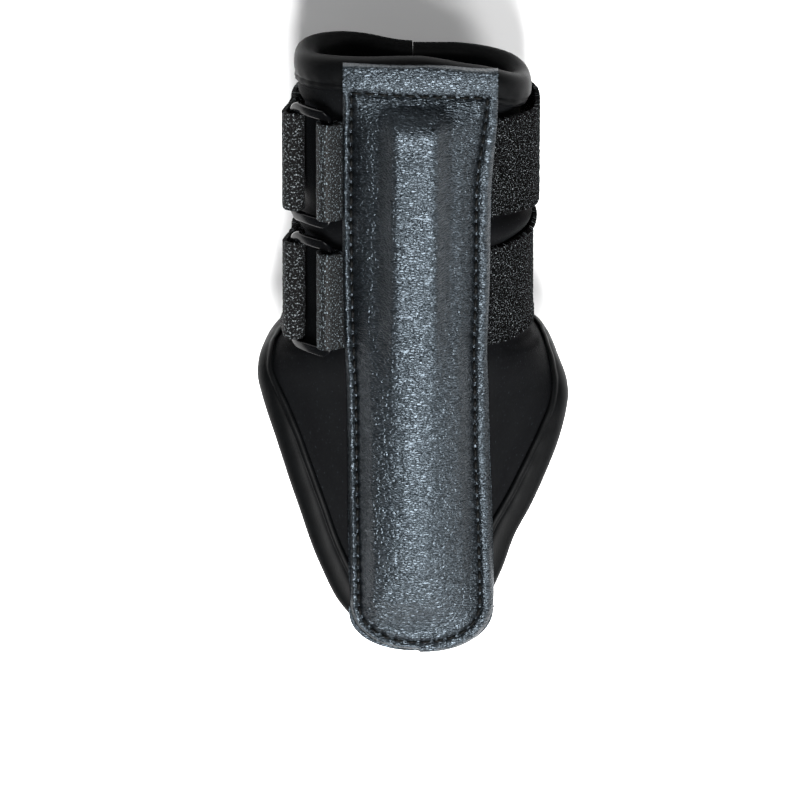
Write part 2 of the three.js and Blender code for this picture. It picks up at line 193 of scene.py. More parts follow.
def through(knots):
    """A smooth curve through these (x, y) knots, level at its ends and without overshoot."""
    steps = [(b[1] - a[1]) / (b[0] - a[0]) for a, b in zip(knots, knots[1:])]
    slopes = [0.0]
    for before, after in zip(steps, steps[1:]):
        slopes.append(2 * before * after / (before + after) if before * after > 0 else 0.0)
    slopes.append(0.0)

    def curve(x):
        if x <= knots[0][0]:
            return knots[0][1]
        if x >= knots[-1][0]:
            return knots[-1][1]
        i = next(k for k in range(len(steps)) if x < knots[k + 1][0])
        width = knots[i + 1][0] - knots[i][0]
        t = (x - knots[i][0]) / width
        return (
            knots[i][1] * (1 - t) ** 2 * (1 + 2 * t) + knots[i + 1][1] * t * t * (3 - 2 * t)
            + slopes[i] * width * t * (1 - t) ** 2 + slopes[i + 1] * width * t * t * (t - 1)
        )

    return curve


def half_width(theta, s):
    """The wrap's half width: it grows from the wrist to the hand."""
    turned = (theta + 180) % 360 - 180
    back = mix(smooth(77, 101, s), smooth(79, 108, s), smooth(-25, 25, turned))
    palm = smooth(78, 104, s) if turned < 0 else smooth(80, 108, s)
    grown = mix(back, palm, smooth(-0.35, 0.35, -math.cos(math.radians(theta))))
    return mix(WRIST_HALF_WIDTH, HAND_HALF_WIDTH, grown)


def outline(theta, s):
    """The wrap's outer face, as (x, z)."""
    a = math.radians(theta)
    on_back = math.cos(a) >= 0
    n = BACK_SQUARENESS if on_back else PALM_SQUARENESS
    across = abs(math.sin(a)) / half_width(theta, s)
    up = abs(math.cos(a)) / (BACK_DEPTH if on_back else PALM_DEPTH)
    r = (across ** n + up ** n) ** (-1 / n)
    return Vector((CENTRE_X + r * math.sin(a), CENTRE_Z + r * math.cos(a)))


def pressed_in(theta, s):
    """How far the straps press the foam in on the sides of the wrist."""
    side = abs((theta + 180) % 360 - 180)
    edge = STRAP_WIDTH / 2
    reach = max(1 - smooth(edge + 0.5, edge + 4, abs(s - at)) for at in STRAP_S.values())
    return PRESS * reach * smooth(40, 70, side) * (1 - smooth(115, 150, side))


def wrap_point(theta, s, height=0.0):
    """A point that far outside the wrap's outer face. The palm side lies flat."""
    height -= pressed_in(theta, s)
    on = (outline(theta + 0.5, s) - outline(theta - 0.5, s)).normalized()
    p = outline(theta, s)
    return Vector((p.x - on.y * height, TOP_Y - s, max(p.y + on.x * height, PALM_Z - height)))


# The wrap's two long edges, as s at these angles.
rim_s = through([
    (-180, 13), (-135, 9), (-90, 5.7), (-45, 3), (0, 2.2), (45, 5.5), (75, 11), (100, 13.5),
    (180, 13.5),
])
finger_edge_s = through([
    (-180, 93), (-120, 93.5), (-96, 94.5), (-85, 97), (-80, 101.5), (-72, 113), (-63, 132.5),
    (-55, 150), (-45, 163.5), (-36, 168.3), (0, 169.5), (36, 167.5), (46, 162), (52, 154),
    (57, 144), (63, 135.5), (70, 124.5), (77, 114), (84, 104), (94, 97.5), (112, 94.5),
    (140, 93), (180, 93),
])


def strap_middle(which, theta):
    """Where a strap's middle lies: the lower one rises a little over the little-finger side."""
    rise = 3.5 if which == "lower" else 0.0
    return STRAP_S[which] - rise * smooth(48, 90, theta) * (1 - smooth(120, 200, theta))


def swell(theta, s):
    """How far the foam stands out beside the straps that press it in."""
    side = abs(theta)
    around = theta % 360
    upper = strap_middle("upper", around)
    lower = strap_middle("lower", around)
    edge = STRAP_WIDTH / 2
    between = hump(upper + edge - 1, lower - edge + 2, s) * (1.0 + 1.1 * smooth(35, 60, theta))
    rim = 0.7 * hump(rim_s(theta) + 3, upper - edge + 1, s)
    hand = 0.8 * hump(lower + edge - 2, lower + edge + 16, s)
    return (between + rim + hand) * smooth(20, 40, side)


def sheet_piece(name, columns, rows, width, length, place, material):
    """A grid moved to place(u, v), both from 0 to 1. Its "sheet" UV map is in millimetres."""
    bm = bmesh.new()
    uv = bm.loops.layers.uv.new("sheet")
    bmesh.ops.create_grid(bm, x_segments=columns, y_segments=rows, size=0.5)
    for face in bm.faces:
        face.smooth = True
        for loop in face.loops:
            loop[uv].uv = ((loop.vert.co.x + 0.5) * width, (loop.vert.co.y + 0.5) * length)
    for vert in bm.verts:
        vert.co = place(vert.co.x + 0.5, vert.co.y + 0.5) * MM
    mesh = bpy.data.meshes.new(name)
    bm.to_mesh(mesh)
    bm.free()
    mesh.materials.append(material)
    piece = bpy.data.objects.new(name, mesh)
    bpy.context.collection.objects.link(piece)
    return piece


def thicken(piece, thickness, offset=-1.0, rounding=0.0):
    """Gives a sheet its thickness, and rounds its cut edges."""
    solid = piece.modifiers.new("thickness", "SOLIDIFY")
    solid.thickness = thickness * MM
    solid.offset = offset
    if rounding:
        bevel = piece.modifiers.new("edge", "BEVEL")
        bevel.width = rounding * MM
        bevel.segments = 3
        bevel.limit_method = "ANGLE"
        bevel.angle_limit = math.radians(60)
    return piece


WAVE_SCALE = math.pi / 10  # a wave node's scale for bands one unit of its coordinates apart
COURSE_PITCH = 0.45

# Warp-knitted nylon jersey on foam: almost black, matt, with fine courses across the wrist, a
# faint sheen at grazing angles and a little pale lint.
jersey = new_material(
    "knitted_jersey_neoprene", Roughness=0.7, IOR=1.5, Sheen_Weight=0.006, Sheen_Roughness=0.5,
    Sheen_Tint=linear("#8f9aa3"), Specular_IOR_Level=0.035,
)
jersey_uv = add(jersey, "UVMap", uv_map="sheet").outputs["UV"]
jersey_blotch = add(jersey, "TexNoise", {"Vector": jersey_uv, "Scale": 0.09, "Detail": 3.0})
jersey_lint = add(jersey, "TexNoise", {
    "Vector": jersey_uv, "Scale": 2.2, "Detail": 1.0, "Roughness": 0.4,
})
jersey_lint_only = add(jersey, "MapRange", {
    "Value": jersey_lint.outputs["Fac"], "From Min": 0.70, "From Max": 0.80,
})
jersey_dark = add(jersey, "Mix", {
    "Factor": jersey_blotch.outputs["Fac"], "A": linear("#020203"), "B": linear("#060708"),
}, data_type="RGBA")
jersey_colour = add(jersey, "Mix", {
    "Factor": jersey_lint_only.outputs["Result"], "A": jersey_dark.outputs["Result"],
    "B": linear("#23282b"),
}, data_type="RGBA")
jersey_courses = add(jersey, "TexWave", {
    "Vector": jersey_uv, "Scale": WAVE_SCALE / COURSE_PITCH, "Distortion": 0.6, "Detail": 2.0,
    "Detail Scale": 2.0,
}, bands_direction="Y")
jersey_ribs = add(jersey, "Bump", {
    "Strength": 0.35, "Distance": 0.12 * MM, "Height": jersey_courses.outputs["Fac"],
})
jersey_knit = add(jersey, "TexNoise", {
    "Vector": jersey_uv, "Scale": 1.6, "Detail": 4.0, "Roughness": 0.7,
})
wire(
    jersey,
    Base_Color=jersey_colour.outputs["Result"],
    Normal=add(jersey, "Bump", {
        "Strength": 0.4, "Distance": 0.0002, "Height": jersey_knit.outputs["Fac"],
        "Normal": jersey_ribs.outputs["Normal"],
    }).outputs["Normal"],
)

ACROSS_WRAP = through([
    (0, -WRAP_END), (0.22, -88), (0.43, -30), (0.57, 30), (0.78, 88), (1, WRAP_END),
])


def wrap_angle(u):
    """The angle of the sheet's columns, which stand closer where the wrist rounds over."""
    return mix(mix(-WRAP_END, WRAP_END, u), ACROSS_WRAP(u), 0.8)


def wrap_surface(u, v):
    theta = wrap_angle(u)
    s = mix(finger_edge_s(theta) - EDGE_TUCK, rim_s(theta) + EDGE_TUCK, v)
    wander = 0.18 * noise.noise(Vector((theta * 0.07, s * 0.06, 3.0)))
    return wrap_point(theta, s, swell(theta, s) + wander)


KNIT_WIDTH = 180.0  # the knit's own coordinate across the wrap
WRAP_LENGTH = 166.0
wrap = thicken(
    sheet_piece("wrist_wrap_sheet", 260, 190, KNIT_WIDTH, WRAP_LENGTH, wrap_surface, jersey),
    NEOPRENE,
)
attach(wrap, "guard")
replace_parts(wrap, "wrist_wrap")

# ---- Binding tape ------------------------------------------------------------------------------
# Smooth stretch tape, folded over each edge of the wrap and sewn down through it. The seam pulls
# a groove along the tape, with a thin free lip beyond it.

# Close-woven nylon and elastane: black with a soft, even shine along its fold.
tape = new_material(
    "folded_stretch_tape", Roughness=0.5, IOR=1.5, Sheen_Weight=0.006, Sheen_Roughness=0.45,
    Sheen_Tint=linear("#98a3ab"), Specular_IOR_Level=0.04,
)
tape_uv = add(tape, "UVMap", uv_map="sheet").outputs["UV"]
tape_mottle = add(tape, "TexNoise", {"Vector": tape_uv, "Scale": 0.5, "Detail": 4.0})
tape_weave = add(tape, "TexNoise", {
    "Vector": tape_uv, "Scale": 2.4, "Detail": 3.0, "Roughness": 0.6,
})
wire(
    tape,
    Base_Color=add(tape, "Mix", {
        "Factor": tape_mottle.outputs["Fac"], "A": linear("#020202"), "B": linear("#050607"),
    }, data_type="RGBA").outputs["Result"],
    Normal=add(tape, "Bump", {
        "Strength": 0.3, "Distance": 0.0001, "Height": tape_weave.outputs["Fac"],
    }).outputs["Normal"],
)

TAPE = 0.7
TAPE_WIDTH = 17.0
TAPE_ROWS = 30
TAPE_STEP = 1.1  # along the tape, in millimetres
END_SETBACK = 6.8  # the tapes on the wrap's two ends stop under the rim and finger-edge tapes
# The tape's line across the edge: how far in from the edge, and how high over the outer face.
TAPE_SECTION = [
    (5.0, -4.2), (2.5, -4.3), (0.3, -4.0), (-1.1, -2.6), (-1.25, -1.2), (-0.7, 0.2), (0.6, 0.95),
    (2.4, 1.15), (4.0, 0.95), (5.0, 0.5), (5.35, 0.28), (5.7, 0.52), (6.1, 0.62), (6.5, 0.38),
    (6.6, 0.1),
]


def smooth_line(points, count):
    """count + 1 evenly spaced points on a smooth line through these ones."""
    lengths = [(b - a).length for a, b in zip(points, points[1:])]
    slopes = [(points[1] - points[0]) / lengths[0]]
    for i in range(1, len(points) - 1):
        slopes.append((points[i + 1] - points[i - 1]) / (lengths[i] + lengths[i - 1]))
    slopes.append((points[-1] - points[-2]) / lengths[-1])
    dense = []
    for i, length in enumerate(lengths):
        third = length / 3
        dense += interpolate_bezier(
            points[i], points[i] + slopes[i] * third,
            points[i + 1] - slopes[i + 1] * third, points[i + 1], 24,
        )[:-1]
    dense.append(points[-1].copy())
    reached = [0.0]
    for a, b in zip(dense, dense[1:]):
        reached.append(reached[-1] + (b - a).length)
    line, k = [], 0
    for i in range(count + 1):
        want = reached[-1] * i / count
        while k < len(dense) - 2 and reached[k + 1] < want:
            k += 1
        step = max(1e-9, reached[k + 1] - reached[k])
        line.append(dense[k].lerp(dense[k + 1], (want - reached[k]) / step))
    return line


tape_profile = smooth_line([Vector((x, y, 0)) for x, y in TAPE_SECTION], TAPE_ROWS)


def edge_tape(name, steps, side, edge):
    """Tape round the wrap's edge, where edge(t) is (theta, s). The wrap is to its left for side
    1 and to its right for side -1."""
    def place(u, v):
        inward, height = tape_profile[round(v * TAPE_ROWS)].to_2d()
        theta, s = edge(u)
        theta_on, s_on = edge(min(1.0, u + 0.003))
        theta_back, s_back = edge(max(0.0, u - 0.003))
        mm_per_degree = (outline(theta + 1, s) - outline(theta - 1, s)).length / 2
        along = Vector(((theta_on - theta_back) * mm_per_degree, s_on - s_back)).normalized()
        theta_in = theta - along.y * side * inward / mm_per_degree
        s_in = s + along.x * side * inward
        ease = swell(theta_in, s_in) * smooth(-1, 3, inward) if height > -1.5 else 0.0
        pucker = 0.07 * math.sin(u * steps * 0.9) * smooth(2, 5, inward) if height > -1 else 0.0
        return wrap_point(theta_in, s_in, height + ease + pucker)

    piece = sheet_piece(name, steps, TAPE_ROWS, steps * TAPE_STEP, TAPE_WIDTH, place, tape)
    thicken(piece, TAPE, offset=-1.0 if side > 0 else 1.0)
    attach(piece, "guard")
    return piece


TAPE_END = 179.8 / WRAP_END  # the long edges' tapes run on till their ends meet on the palm


def along_rim(t):
    theta = wrap_angle(t) * TAPE_END
    return theta, rim_s(theta)


def along_finger_edge(start, end):
    def edge(t):
        theta = wrap_angle(mix(start, end, t)) * TAPE_END
        return theta, finger_edge_s(theta)
    return edge


def along_end(theta):
    def edge(t):
        return theta, mix(rim_s(theta) + END_SETBACK, finger_edge_s(theta) - END_SETBACK, t)
    return edge


for tape_name, steps, side, edge, node in (
    ("rim_tape", 260, 1, along_rim, "rim_binding"),
    ("thumb_edge_tape", 210, -1, along_finger_edge(0, 0.498), "thumb_edge_binding"),
    ("little_finger_edge_tape", 210, -1, along_finger_edge(0.502, 1), "little_finger_edge_binding"),
    ("thumb_end_tape", 60, -1, along_end(-WRAP_END), "thumb_end_binding"),
    ("little_finger_end_tape", 60, 1, along_end(WRAP_END), "little_finger_end_binding"),
):
    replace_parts(edge_tape(tape_name, steps, side, edge), node)

# ---- Leather panel -----------------------------------------------------------------------------
# A long tongue of PU leather, 1 mm thick, rolled over the wrap's rim at the top and sewn down all
# round inside its margin. The splint and its foam lift it in a raised channel: a narrow flat bar
# at the wrist that spreads into a low dome over the hand.

LEATHER = 1.0
PANEL_LENGTH = 178.2
PANEL_END = 13.0
END_SQUARENESS = 2.25
FLESH = 3.1  # the cover's top face over the panel's base line, in the margin

# Its long edges from its middle line, its seam's distance in from them, and the channel in it.
left_edge = through([
    (0, -21.4), (50, -21.6), (86, -21.0), (101, -20.4), (131, -20.2), (165, -19.9),
])
right_edge = through([
    (0, 21.6), (12, 21.6), (40, 19.8), (56, 19.6), (71, 19.3), (86, 18.8), (101, 19.3),
    (116, 19.6), (131, 20.2), (149, 20.7), (163, 21.0),
])
seam_left_inset = through([(0, 2.4), (100, 2.5), (165, 2.7)])
seam_right_inset = through([
    (0, 2.6), (14, 3.0), (40, 4.1), (85, 3.7), (116, 4.1), (165, 4.0),
])
channel_height = through([
    (11.5, 0), (14.5, 3.0), (19.5, 7.0), (90, 7.2), (140, 6.4), (160, 4.2), (174, 0),
])
channel_middle = through([(20, -1.4), (90, -1.7), (140, -2.2)])
STITCH_PITCH = 3.75
STITCH_POINTS = 15  # points on the seam for each stitch
SEAM_END_INSET = 3.2
SEAM_CORNER = 12.4
SEAM_TOP_LEFT, SEAM_TOP_RIGHT = 9.7, 11.4


def round_end(share):
    return 1 - (1 - min(1.0, abs(share)) ** END_SQUARENESS) ** (1 / END_SQUARENESS)


def back_height(x, s):
    """The height of the wrap's outer face, where x is from the panel's middle line."""
    share = min(0.999, abs(PANEL_X + x - CENTRE_X) / half_width(0, s))
    return CENTRE_Z + BACK_DEPTH * (1 - share ** BACK_SQUARENESS) ** (1 / BACK_SQUARENESS)


def panel_base(x, s):
    return BACK_Z - 0.45 * (BACK_Z - back_height(x, s))


def channel(x, s):
    """How far the splint lifts the leather: a flat bar with soft flanks that turns into a dome."""
    out = abs(x - channel_middle(s))
    flank = min(1.0, max(0.0, (out - 6.4) / 12.0))
    bar = 1 - 0.07 * min(1.0, out / 8) ** 2 - 0.30 * smooth(4.6, 11.0, out) - 0.63 * flank
    dome = max(0.0, 1 - (out / 17.6) ** 2.0) ** 0.85
    return channel_height(s) * mix(bar, dome, smooth(62, 108, s))


def seam_points(spacing):
    """The seam as points (x, s), down the left side, round the end, back up and over the top."""
    def left(s):
        return left_edge(s) + seam_left_inset(s)

    def right(s):
        return right_edge(s) - seam_right_inset(s)

    corner = PANEL_LENGTH - SEAM_END_INSET - SEAM_CORNER
    half = (right(corner) - left(corner)) / 2
    middle = (right(corner) + left(corner)) / 2
    rough = [Vector((left(s), s, 0)) for s in range(10, int(corner), 2)]
    for i in range(61):
        share = math.sin(math.radians(mix(-90, 90, i / 60)))
        rough.append(Vector((
            middle + half * share, corner + SEAM_CORNER * (1 - round_end(share)), 0,
        )))
    rough += [Vector((right(s), s, 0)) for s in range(int(corner) - 1, 12, -2)]
    for k in range(13):
        share = 1 - k / 12
        x = mix(left(SEAM_TOP_LEFT), right(SEAM_TOP_RIGHT), share)
        rough.append(Vector((x, mix(SEAM_TOP_LEFT, SEAM_TOP_RIGHT, share), 0)))
    lengths = [(b - a).length for a, b in zip(rough, rough[1:])]
    count = round(sum(lengths) / spacing)
    points, k, passed = [], 0, 0.0
    for i in range(count):
        want = sum(lengths) * i / count
        while passed + lengths[k] < want:
            passed += lengths[k]
            k += 1
        points.append(rough[k].lerp(rough[k + 1], (want - passed) / lengths[k]))
    return points


seam = seam_points(STITCH_PITCH / STITCH_POINTS)
seam_tree = kdtree.KDTree(len(seam))
for i, point in enumerate(seam):
    seam_tree.insert(point, i)
seam_tree.balance()


def in_seam(x, s):
    """Whether a point is inside the stitched line."""
    nearest, index, distance = seam_tree.find(Vector((x, s, 0)))
    ahead = seam[(index + 1) % len(seam)] - seam[index - 1]
    return ahead.x * (s - nearest.y) - ahead.y * (x - nearest.x) < 0, index, distance


def cover_height(x, s):
    """The cover's top face over the panel's base line."""
    inside, index, distance = in_seam(x, s)
    phase = (index % STITCH_POINTS) / STITCH_POINTS
    hole = 0.5 + 0.5 * math.cos(2 * math.pi * phase)  # 1 at a needle hole, 0 between two
    wander = noise.noise(Vector((x * 0.35, s * 0.35, 1.0)))
    groove = -(0.75 + 0.35 * hole) * math.exp(-(distance / 0.75) ** 2)
    pucker = 0.16 * (1 - 2 * hole) * math.exp(-((distance - 1.4) / 1.1) ** 2)
    if inside:
        lift = channel(x, s) * smooth(0, 4.5, distance) + 0.25 * hump(0.4, 4.2, distance)
        return FLESH + lift + groove + pucker + 0.10 * wander
    margin_width = 2.6 if x < 0 else 4.0
    across = min(1.0, distance / margin_width)
    edge = STRAP_WIDTH / 2
    held_up = max(  # where a strap or a tab runs in under the edge
        1 - smooth(edge - 1, edge + 4, abs(s - strap_middle(which, 48 if x > 0 else 0)))
        for which in STRAP_S
    )
    droop = ((0.7 + 0.9 * (1 - held_up)) * across ** 1.5 + 0.5 * across ** 6) * smooth(9, 14, s)
    hem = 0.5 * hump(0.3, 11, s) * (1 - smooth(9, 12, s))
    margin = 0.45 * hump(0.2, 1.25, across) * smooth(9, 13, s)
    return FLESH + hem + margin + groove + pucker * (1.2 - across) - droop + 0.08 * wander


ROLL = 0.04  # the share of the cover's rows that roll down over the rim
ROLL_RADIUS = 1.2
END_HALF_WIDTH = 20.4


def cover_surface(u, v):
    across = math.sin(math.radians(mix(-90, 90, u)))
    down = max(0.0, (v - ROLL) / (1 - ROLL))
    middle = (left_edge(120) + right_edge(120)) / 2
    end_s = PANEL_LENGTH - PANEL_END * round_end(across)
    top_s = 2.9 + 1.8 * smooth(0, 1, across)
    s = mix(top_s, end_s, down)
    x = mix(left_edge(s), right_edge(s), (across + 1) / 2)
    narrow = smooth(PANEL_LENGTH - PANEL_END - 8, PANEL_LENGTH, s)
    x += (middle + across * END_HALF_WIDTH - x) * narrow * 0.6
    height = panel_base(x, max(s, 2.0)) + cover_height(x, s)
    if v < ROLL:
        turn = (1 - v / ROLL) * 2.0
        bend = min(turn, 1.0) * math.pi / 2
        fall = max(0.0, turn - 1.0)
        s = top_s - ROLL_RADIUS * math.sin(bend)
        height += -ROLL_RADIUS * (1 - math.cos(bend)) - 1.8 * fall
    return Vector((PANEL_X + x, TOP_Y - s, height))


# Polyurethane-coated leather, embossed and then wrinkled in use: slate black, semi-gloss, with
# wavy creases across the panel 0.7 mm apart between small raised cells, which catch the light
# one by one. The creases are painted black, as painted shade.
leather = new_material(
    "wrinkled_pu_leather", Roughness=0.33, IOR=1.5, Specular_IOR_Level=0.46,
    Specular_Tint=linear("#d2e5f5"),
)
leather_at = add(leather, "TexCoord").outputs["Object"]
leather_drift = add(leather, "TexNoise", {"Vector": leather_at, "Scale": 420.0, "Detail": 2.0})
leather_warped = add(leather, "VectorMath", {
    0: leather_drift.outputs["Color"], 1: (0.0008, 0.0007, 0.0), 2: leather_at,
}, operation="MULTIPLY_ADD")
leather_folds_at = add(leather, "Mapping", {
    "Vector": leather_warped.outputs["Vector"], "Scale": (580.0, 1400.0, 580.0),
})
leather_folds = add(leather, "TexNoise", {
    "Vector": leather_folds_at.outputs["Vector"], "Scale": 1.0, "Detail": 2.0, "Roughness": 0.5,
})
leather_creases = add(leather, "TexVoronoi", {
    "Vector": leather_folds_at.outputs["Vector"], "Scale": 1.2,
}, feature="DISTANCE_TO_EDGE")
leather_pads = add(leather, "MapRange", {
    "Value": leather_creases.outputs["Distance"], "From Min": 0.0, "From Max": 0.25,
}, interpolation_type="SMOOTHSTEP")
leather_relief = add(leather, "Math", {
    0: leather_pads.outputs["Result"], 1: 0.36, 2: leather_folds.outputs["Fac"],
}, operation="MULTIPLY_ADD")
leather_bump = add(leather, "Bump", {
    "Strength": 1.0, "Distance": 0.00031, "Height": leather_relief.outputs["Value"],
})
leather_wear = add(leather, "TexNoise", {"Vector": leather_at, "Scale": 45.0, "Detail": 4.0})
leather_colour = add(leather, "Mix", {
    "Factor": leather_wear.outputs["Fac"], "A": linear("#030405"), "B": linear("#07090b"),
}, data_type="RGBA")
# Painted shade: the creases between the cells are painted black in the colour, where shade falls.
leather_crease_shade = add(leather, "Mix", {
    "Factor": leather_pads.outputs["Result"], "A": linear("#000000"),
    "B": leather_colour.outputs["Result"],
}, data_type="RGBA")
leather_gloss = add(leather, "MapRange", {
    "Value": leather_wear.outputs["Fac"], "To Min": 0.30, "To Max": 0.37,
})
wire(
    leather,
    Base_Color=leather_crease_shade.outputs["Result"],
    Roughness=leather_gloss.outputs["Result"],
    Normal=leather_bump.outputs["Normal"],
)

cover = thicken(
    sheet_piece(
        "leather_panel", 130, 520, 43.0, 182.0, lambda u, v: cover_surface(u, 1 - v), leather,
    ),
    LEATHER, rounding=0.3,
)
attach(cover, "guard")
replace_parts(cover, "panel_cover")

# ---- Panel stitching ---------------------------------------------------------------------------
# A lockstitch in thick bonded polyester thread, 3.75 mm a stitch. Each stitch dives into its
# needle hole at both ends, so what shows is a short dark bead, sunk in the groove that it pulls.

STITCH_DEPTH = 0.62  # the middle of a stitch, under the cover's top face
# Along a stitch: its place among the seam's points, how far it dives and its radius.
STITCH = [(2, 0.55, 0.3), (4, 0.12, 0.42), (7, 0.0, 0.45), (10, 0.12, 0.42), (13, 0.55, 0.3)]

# Bonded polyester: black and nearly matt, with the twist showing as fine slanting lines.
thread = new_material("bonded_polyester_thread", Roughness=0.6, IOR=1.5, Specular_IOR_Level=0.08)
thread_at = add(thread, "TexCoord").outputs["Object"]
thread_twist = add(thread, "TexWave", {"Vector": thread_at, "Scale": 900.0, "Distortion": 1.0},
                   bands_direction="DIAGONAL")
wire(
    thread,
    Base_Color=add(thread, "Mix", {
        "Factor": thread_twist.outputs["Fac"], "A": linear("#010101"), "B": linear("#050606"),
    }, data_type="RGBA").outputs["Result"],
    Normal=add(thread, "Bump", {
        "Strength": 0.6, "Distance": 0.0001, "Height": thread_twist.outputs["Fac"],
    }).outputs["Normal"],
)

stitches = bmesh.new()
for first in range(0, len(seam) - STITCH_POINTS // 2, STITCH_POINTS):
    line = [seam[(first + place) % len(seam)] for place, _, _ in STITCH]
    rings = []
    for k, (point, (_, dive, radius)) in enumerate(zip(line, STITCH)):
        height = panel_base(point.x, point.y) + FLESH - STITCH_DEPTH - dive
        centre = Vector((PANEL_X + point.x, TOP_Y - point.y, height))
        ahead = line[min(k + 1, len(line) - 1)] - line[max(k - 1, 0)]
        aside = Vector((ahead.y, ahead.x, 0)).normalized()
        ring = bmesh.ops.create_circle(stitches, segments=8, radius=1.0)["verts"]
        for vert in ring:
            turned = aside * vert.co.x + Vector((0, 0, 1)) * vert.co.y
            vert.co = (centre + radius * turned) * MM
        rings.append(ring)
    for a, b in zip(rings, rings[1:]):
        edges = {e for ring in (a, b) for vert in ring for e in vert.link_edges
                 if all(end in ring for end in e.verts)}
        bmesh.ops.bridge_loops(stitches, edges=list(edges))
    for ring in (rings[0], rings[-1]):
        stitches.faces.new(ring)
bmesh.ops.recalc_face_normals(stitches, faces=stitches.faces)
for face in stitches.faces:
    face.smooth = True
stitch_mesh = bpy.data.meshes.new("panel_thread")
stitches.to_mesh(stitch_mesh)
stitch_mesh.materials.append(thread)
stitching = bpy.data.objects.new("panel_thread", stitch_mesh)
bpy.context.collection.objects.link(stitching)
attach(stitching, "guard")
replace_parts(stitching, "panel_stitching")

# ---- Splint, foam pad and backing --------------------------------------------------------------
# Inside the channel: a rolled aluminium strip on a strip of closed-cell foam, over a woven backing
# that closes the pocket. They are out of sight, and keep the shapes of their own solids.

# Rolled aluminium: bright, with streaks along the strip.
strip = new_material(
    "rolled_aluminium_strip", Base_Color=linear("#a8abae"), Metallic=1.0, Roughness=0.38,
)
strip_at = add(strip, "Mapping", {
    "Vector": add(strip, "TexCoord").outputs["Object"], "Scale": (4000.0, 60.0, 4000.0),
})
strip_lines = add(strip, "TexNoise", {
    "Vector": strip_at.outputs["Vector"], "Scale": 1.0, "Detail": 2.0,
})
wire(strip, Roughness=add(strip, "MapRange", {
    "Value": strip_lines.outputs["Fac"], "To Min": 0.28, "To Max": 0.5,
}).outputs["Result"])

# Closed-cell foam, skived from a block: dull dark grey with burst cells on its faces.
foam = new_material("closed_cell_foam", Roughness=0.95, IOR=1.45)
foam_cells = add(foam, "TexVoronoi", {
    "Vector": add(foam, "TexCoord").outputs["Object"], "Scale": 1400.0,
})
wire(foam, Base_Color=add(foam, "Mix", {
    "Factor": foam_cells.outputs["Distance"], "A": linear("#3c3c3c"), "B": linear("#2a2a2a"),
}, data_type="RGBA").outputs["Result"])

# Plain-woven nylon lining: matt black, 0.4 mm to a thread.
lining = new_material("woven_lining", Roughness=0.85, IOR=1.5, Sheen_Weight=0.2)
lining_checks = add(lining, "TexChecker", {
    "Vector": add(lining, "TexCoord").outputs["Object"], "Scale": 2500.0,
    "Color1": linear("#17181a"), "Color2": linear("#202224"),
})
wire(lining, Base_Color=lining_checks.outputs["Color"])

for node, hidden_material in (("splint", strip), ("splint_pad", foam), ("panel_backing", lining)):
    for material_slot in frame["nodes"][node].material_slots:
        material_slot.material = hidden_material

# ---- Rings -------------------------------------------------------------------------------------
# Two flat rectangular rings, injection moulded in glossy black nylon, with rounded corners and
# edges, and bowed a little to lie round the wrist. Each turns on its inner bar in its tab's loop.

RING_WIDTH, RING_LENGTH = 15.5, 35.0
RING_BAR, RING_THICKNESS = 2.8, 1.8
RING_CORNER, WINDOW_CORNER = 3.4, 1.2
RING_EDGE = 0.55
RING_BOW = 0.9
WINDOW_PLAY = 0.8  # the window's length beyond the webbing's width
joints = {joint["name"]: joint for joint in frame["joints"]}


def flat_xz(point):
    return Vector((point[0], point[2])) / MM


inner_bar = flat_xz(joints["upper_ring_swing"]["pos_m"])
ring_low, ring_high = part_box("upper_ring")
ring_middle = (flat_xz(ring_low) + flat_xz(ring_high)) / 2
ring_round = (ring_middle - inner_bar).normalized()
ring_out = Vector((ring_round.y, -ring_round.x))
if ring_out.x > 0:
    ring_out = -ring_out
BAR_OFFSET = (RING_WIDTH - RING_BAR) / 2
outer_bar = ring_middle + ring_round * BAR_OFFSET

# Nylon 6 from a polished mould: near black and glossy, with soft ripples and fine scuffs.
nylon = new_material("moulded_gloss_nylon", Roughness=0.18, IOR=1.53, Specular_IOR_Level=0.22)
nylon_at = add(nylon, "TexCoord").outputs["Object"]
nylon_scuffs = add(nylon, "TexNoise", {
    "Vector": nylon_at, "Scale": 420.0, "Detail": 5.0, "Roughness": 0.7,
})
nylon_ripple = add(nylon, "TexNoise", {"Vector": nylon_at, "Scale": 130.0, "Detail": 1.0})
wire(
    nylon,
    Base_Color=add(nylon, "Mix", {
        "Factor": nylon_scuffs.outputs["Fac"], "A": linear("#020203"), "B": linear("#060708"),
    }, data_type="RGBA").outputs["Result"],
    Roughness=add(nylon, "MapRange", {
        "Value": nylon_scuffs.outputs["Fac"], "To Min": 0.12, "To Max": 0.24,
    }).outputs["Result"],
    Normal=add(nylon, "Bump", {
        "Strength": 0.15, "Distance": 0.0003, "Height": nylon_ripple.outputs["Fac"],
    }).outputs["Normal"],
)


